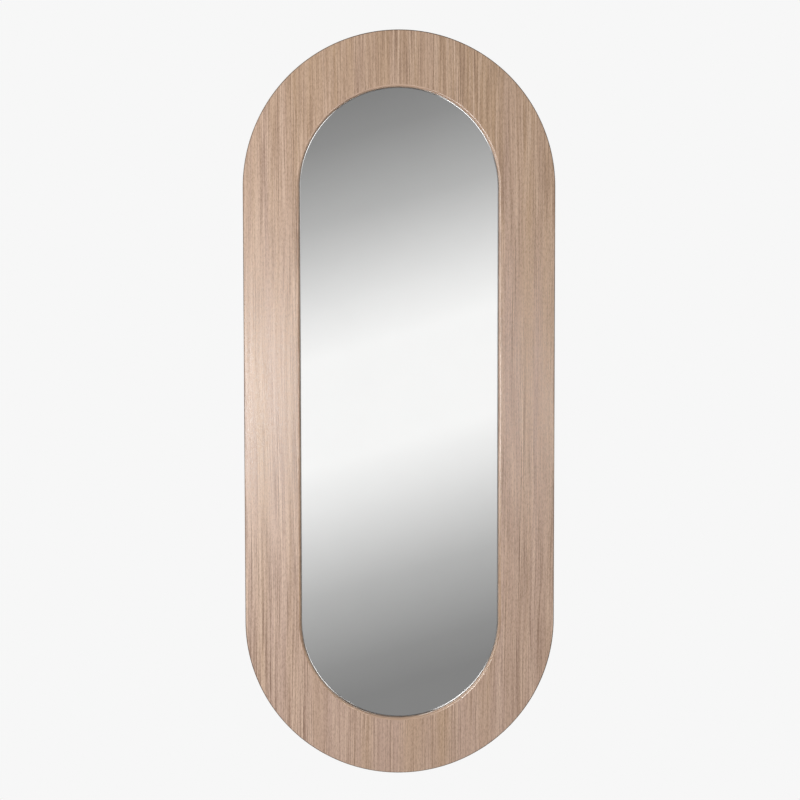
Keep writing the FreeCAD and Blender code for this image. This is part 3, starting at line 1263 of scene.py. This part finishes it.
@dataclass
class WallBumpers:
    """Four rubber feet that keep the frame off the wall, with their washers and screws."""

    screws: WoodScrews
    wall_radius: float = 10.0 * MM
    edge_round: float = 1.0 * MM
    seat_radius: float = 5.5 * MM
    floor: float = 2.5 * MM
    bore_radius: float = 2.25 * MM
    washer_radius: float = 5.25 * MM
    washer_thickness: float = 1.0 * MM
    turn_steps: int = 64
    hole_steps: int = 48
    round_steps: int = 5
    foot_angle: float = 40.0
    washer_angle: float = 35.0

    def build(self) -> None:
        """Builds and dresses the bumpers."""
        places = []
        rubber = RUBBER.material()
        zinc = ZINC.material()
        for node in (f"bumper_{level}_{side.word}" for level in ("top", "bottom") for side in Side):
            low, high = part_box(node)
            base = ((low.x + high.x) / 2, low.y, (low.z + high.z) / 2)
            places.append(base)
            foot = self.foot(node, base, high.y - low.y, (high.x - low.x) / 2)
            stand_for(node, foot, rubber)
        floors = [(x, y + self.floor, z) for x, y, z in places]
        stand_for("bumper_washers", self.washers(floors), zinc)
        seats = [(x, y + self.washer_thickness, z) for x, y, z in floors]
        length = seats[0][1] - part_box("bumper_screws")[0].y
        stand_for("bumper_screws", self.screws.mesh("bumper_screws", seats, length), zinc)

    def foot(self, node: str, place: Place, height: float, base_radius: float) -> bpy.types.Mesh:
        """One rubber foot, turned round its axis.

        Args:
            node: The CAD node that it stands for.
            place: The middle of its base.
            height: Its height.
            base_radius: Its radius on the back panel.

        Returns:
            The mesh.
        """
        lean = math.atan2(base_radius - self.wall_radius, height)
        centre_radius = self.wall_radius - self.edge_round * math.tan(math.pi / 4 - lean / 2)
        profile = [(self.bore_radius, 0.0), (base_radius, 0.0)]
        for step in range(self.round_steps + 1):
            turn = lean + step * (math.pi / 2 - lean) / self.round_steps
            across = centre_radius + self.edge_round * math.cos(turn)
            profile.append((across, height - self.edge_round * (1 - math.sin(turn))))
        seat = self.seat_radius
        profile += [(seat, height), (seat, self.floor), (self.bore_radius, self.floor)]
        return self.turned(f"{node}_foot", profile, place)

    def turned(self, name: str, profile: list[Point], place: Place) -> bpy.types.Mesh:
        """A closed profile turned round the wall's direction.

        Args:
            name: The mesh's name.
            profile: Points (radius, height) in order round the profile.
            place: The axis's foot.

        Returns:
            The mesh.
        """
        work = bmesh.new()
        rings = []
        for step in range(self.turn_steps):
            turn = step * math.tau / self.turn_steps
            spots = [Vector((r * math.cos(turn), up, r * math.sin(turn))) for r, up in profile]
            rings.append([work.verts.new(Vector(place) + spot) for spot in spots])
        for i, ring in enumerate(rings):
            for j in range(len(profile)):
                work.faces.new((ring[j - 1], ring[j], rings[i - 1][j], rings[i - 1][j - 1]))
        return mesh_from(name, work, self.foot_angle)

    def washer_tree(self) -> bpy.types.NodeTree:
        """A flat washer, copied to every point.

        Returns:
            The Geometry Nodes group.
        """
        sketch = GeometrySketch("washers")
        thickness, radius, hole_radius = sketch.sizes("Thickness", "Outer Radius", "Hole Radius")
        disc = {"Vertices": self.turn_steps, "Radius": radius, "Depth": thickness}
        hole = {"Vertices": self.hole_steps, "Radius": hole_radius, "Depth": sketch.times(thickness, 2.0)}
        solids = [sketch.make("GeometryNodeMeshCylinder", inputs) for inputs in (disc, hole)]
        washer = sketch.moved(sketch.cut(*solids), sketch.vector(z=sketch.times(thickness, 0.5)))
        return sketch.finished(sketch.at_points(washer))

    def washers(self, places: list[Place]) -> bpy.types.Mesh:
        """All four washers.

        Args:
            places: Where they lie.

        Returns:
            The mesh.
        """
        values = {
            "Thickness": self.washer_thickness,
            "Outer Radius": self.washer_radius,
            "Hole Radius": self.bore_radius,
            "Seed": self.screws.seed,
        }
        return shade(grown("bumper_washers_set", self.washer_tree(), places, values), self.washer_angle)


@dataclass(frozen=True)
class Lamp:
    """One soft rectangular lamp, aimed at a point of the mirror; its power is in watts."""

    name: str
    place: Place
    size: Point
    power: float
    target: Place = ORIGIN

    def build(self) -> None:
        """Adds the lamp to the scene."""
        data = bpy.data.lights.new(self.name, "AREA")
        data.shape = "RECTANGLE"
        data.size, data.size_y = self.size
        data.energy = self.power
        lamp = bpy.data.objects.new(self.name, data)
        bpy.context.scene.collection.objects.link(lamp)
        lamp.location = self.place
        aim = Vector(self.target) - Vector(self.place)
        lamp.rotation_euler = aim.to_track_quat("-Z", "Y").to_euler()


LAMPS = (
    Lamp("left_softbox", (-2.2, -1.8, 0.4), size=(1.6, 2.2), power=62.0),
    Lamp("camera_softbox", (-0.75, -4.0, -0.26), size=(0.75, 0.6), power=38.5, target=(-0.3, 0.0, 0.0)),
    Lamp("right_softbox", (0.9, -4.0, -0.26), size=(0.45, 0.5), power=6.9, target=(0.3, 0.0, 0.0)),
    Lamp("high_softbox", (-1.5, -1.2, 1.3), size=(0.8, 0.8), power=2.0, target=(-0.3, 0.0, 0.5)),
    Lamp("right_fill", (2.2, -1.8, 0.6), size=(1.2, 1.6), power=7.0),
)


@dataclass
class Studio:
    """Camera, floor, lamps and surroundings, after the photograph's framing and light.

    The camera's roll is in degrees and its sensor in millimetres. Steps are points (where, brightness). The
    room's go by the Y of the direction that is looked in, and the far ones by its Z. The band's and the
    flanks' are in metres on the glass, as the camera sees them there: from the band's middle line, and from
    the mirror's middle across. Each span is where the flanks, and further out the far steps, take over.
    """

    lamps: tuple[Lamp, ...] = LAMPS
    distance: float = 5.5
    offset: Point = (-0.27, 0.41)
    roll: float = -0.075
    photo_pixels: float = 800.0
    frame_pixels: float = 310.85
    centre_pixel: Point = (399.85, 405.5)
    background: Colour = srgb(247, 247, 247)
    sensor: float = 36.0
    floor_level: float = -1.6
    floor_radius: float = 1.1
    floor_sides: int = 128
    room_steps: tuple[Point, ...] = ((-0.7, 0.25), (0.0, 0.09), (0.7, 0.85))
    band_slope: float = 0.3
    band_lift: float = 0.041
    band_steps: tuple[Point, ...] = (
        (0.128, 1.03),
        (0.236, 0.88),
        (0.452, 0.5),
        (0.636, 0.296),
        (0.724, 0.244),
    )
    flank_span: Point = (0.5, 0.8)
    flank_steps: tuple[Point, ...] = (
        (-2.45, 0.5),
        (-2.2, 3.2),
        (-1.3, 3.2),
        (-0.9, 0.3),
        (1.6, 0.3),
        (1.9, 2.2),
        (2.35, 2.2),
        (2.6, 0.5),
    )
    far_span: Point = (3.0, 6.0)
    far_steps: tuple[Point, ...] = ((-0.4, 0.25), (0.05, 0.95))
    least_ahead: float = 0.1

    def build(self) -> None:
        """Sets up the whole studio."""
        self.camera()
        self.surroundings()
        self.floor()
        for lamp in self.lamps:
            lamp.build()
        settings = bpy.context.scene.view_settings
        settings.view_transform = "Standard"
        settings.look = "None"

    def camera(self) -> None:
        """Puts the camera to the upper left of the mirror's middle and aims it there."""
        low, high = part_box("edge_band")
        pixel = (high.x - low.x) / self.frame_pixels
        data = bpy.data.cameras.new("camera")
        data.sensor_width = self.sensor
        camera = bpy.data.objects.new("camera", data)
        bpy.context.scene.collection.objects.link(camera)
        across, up = self.offset
        camera.location = (across, low.y - self.distance, up)
        aim = Vector((0.0, low.y, 0.0)) - camera.location
        turn = aim.to_track_quat("-Z", "Y").to_euler()
        turn.rotate_axis("Z", math.radians(self.roll))
        camera.rotation_euler = turn
        data.lens = self.sensor * aim.length / (self.photo_pixels * pixel)
        data.shift_x = 0.5 - self.centre_pixel[0] / self.photo_pixels
        data.shift_y = self.centre_pixel[1] / self.photo_pixels - 0.5
        bpy.context.scene.camera = camera

    def surroundings(self) -> None:
        """Plain background for the camera, soft room light on the pieces, a slanting band in the mirror."""
        world = bpy.data.worlds.new("studio")
        world.use_nodes = True
        bpy.context.scene.world = world
        sketch = ShaderSketch(world.node_tree)
        rays = sketch.add("ShaderNodeLightPath")
        direction = sketch.add("ShaderNodeTexCoord").outputs["Generated"]
        glows = (
            (WHITE, self.room(sketch, direction)),
            (WHITE, self.mirrored(sketch, direction)),
            (self.background, 1.0),
        )
        room, mirrored, seen = (
            sketch.make("ShaderNodeBackground", {"Color": colour, "Strength": strength})
            for colour, strength in glows
        )
        lit = sketch.choose(rays.outputs["Is Transmission Ray"], room, mirrored)
        output = sketch.add("ShaderNodeOutputWorld")
        sketch.feed(output.inputs["Surface"], sketch.choose(rays.outputs["Is Camera Ray"], lit, seen))

    def room(self, sketch: ShaderSketch, direction: Socket) -> Socket:
        """How bright the room is: soft in front, dimmer to the sides, above and below, and bright behind."""
        return sketch.curve(sketch.apart(direction)[1], self.room_steps)

    def mirrored(self, sketch: ShaderSketch, direction: Socket) -> Socket:
        """How bright the mirror's surroundings are: a slanting white band, flanks and a far rise of light.

        Args:
            sketch: The world's sketch.
            direction: The direction that is looked in.

        Returns:
            The brightness's output.
        """
        right, back, high = sketch.apart(direction)
        ahead = sketch.math("MAXIMUM", sketch.times(back, -1.0), self.least_ahead)
        slopes = (sketch.math("DIVIDE", part, ahead) for part in (right, high))
        across, up = (
            sketch.math("MULTIPLY_ADD", slope, self.distance, start)
            for slope, start in zip(slopes, self.offset)
        )
        slant = sketch.times(across, self.band_slope)
        height = sketch.math("SUBTRACT", sketch.math("SUBTRACT", up, slant), self.band_lift)
        band = sketch.curve(sketch.math("ABSOLUTE", height), self.band_steps)
        aside = sketch.math("ABSOLUTE", across)
        far = sketch.curve(high, self.far_steps)
        flanks = sketch.remap(aside, self.far_span, (sketch.curve(across, self.flank_steps), far))
        return sketch.remap(aside, self.flank_span, (band, flanks))

    def floor(self) -> None:
        """A plain pale floor below the hanging mirror, out of the photograph's frame."""
        work = bmesh.new()
        bmesh.ops.create_circle(work, cap_ends=True, segments=self.floor_sides, radius=self.floor_radius)
        bmesh.ops.translate(work, verts=work.verts, vec=(0.0, 0.0, self.floor_level))
        put_in_scene("floor", mesh_from("floor", work), FLOOR.material())


def main() -> None:
    """Builds the studio and every piece in order."""
    logging.basicConfig(level=logging.INFO, format="%(message)s")
    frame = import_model()
    screws = WoodScrews()
    Studio().build()
    VeneeredFrame(frame).build()
    MirrorPane(frame).build()
    for side in Side:
        RingHanger(frame, side, screws).build()
    WallBumpers(screws).build()


if __name__ == "__main__":
    main()
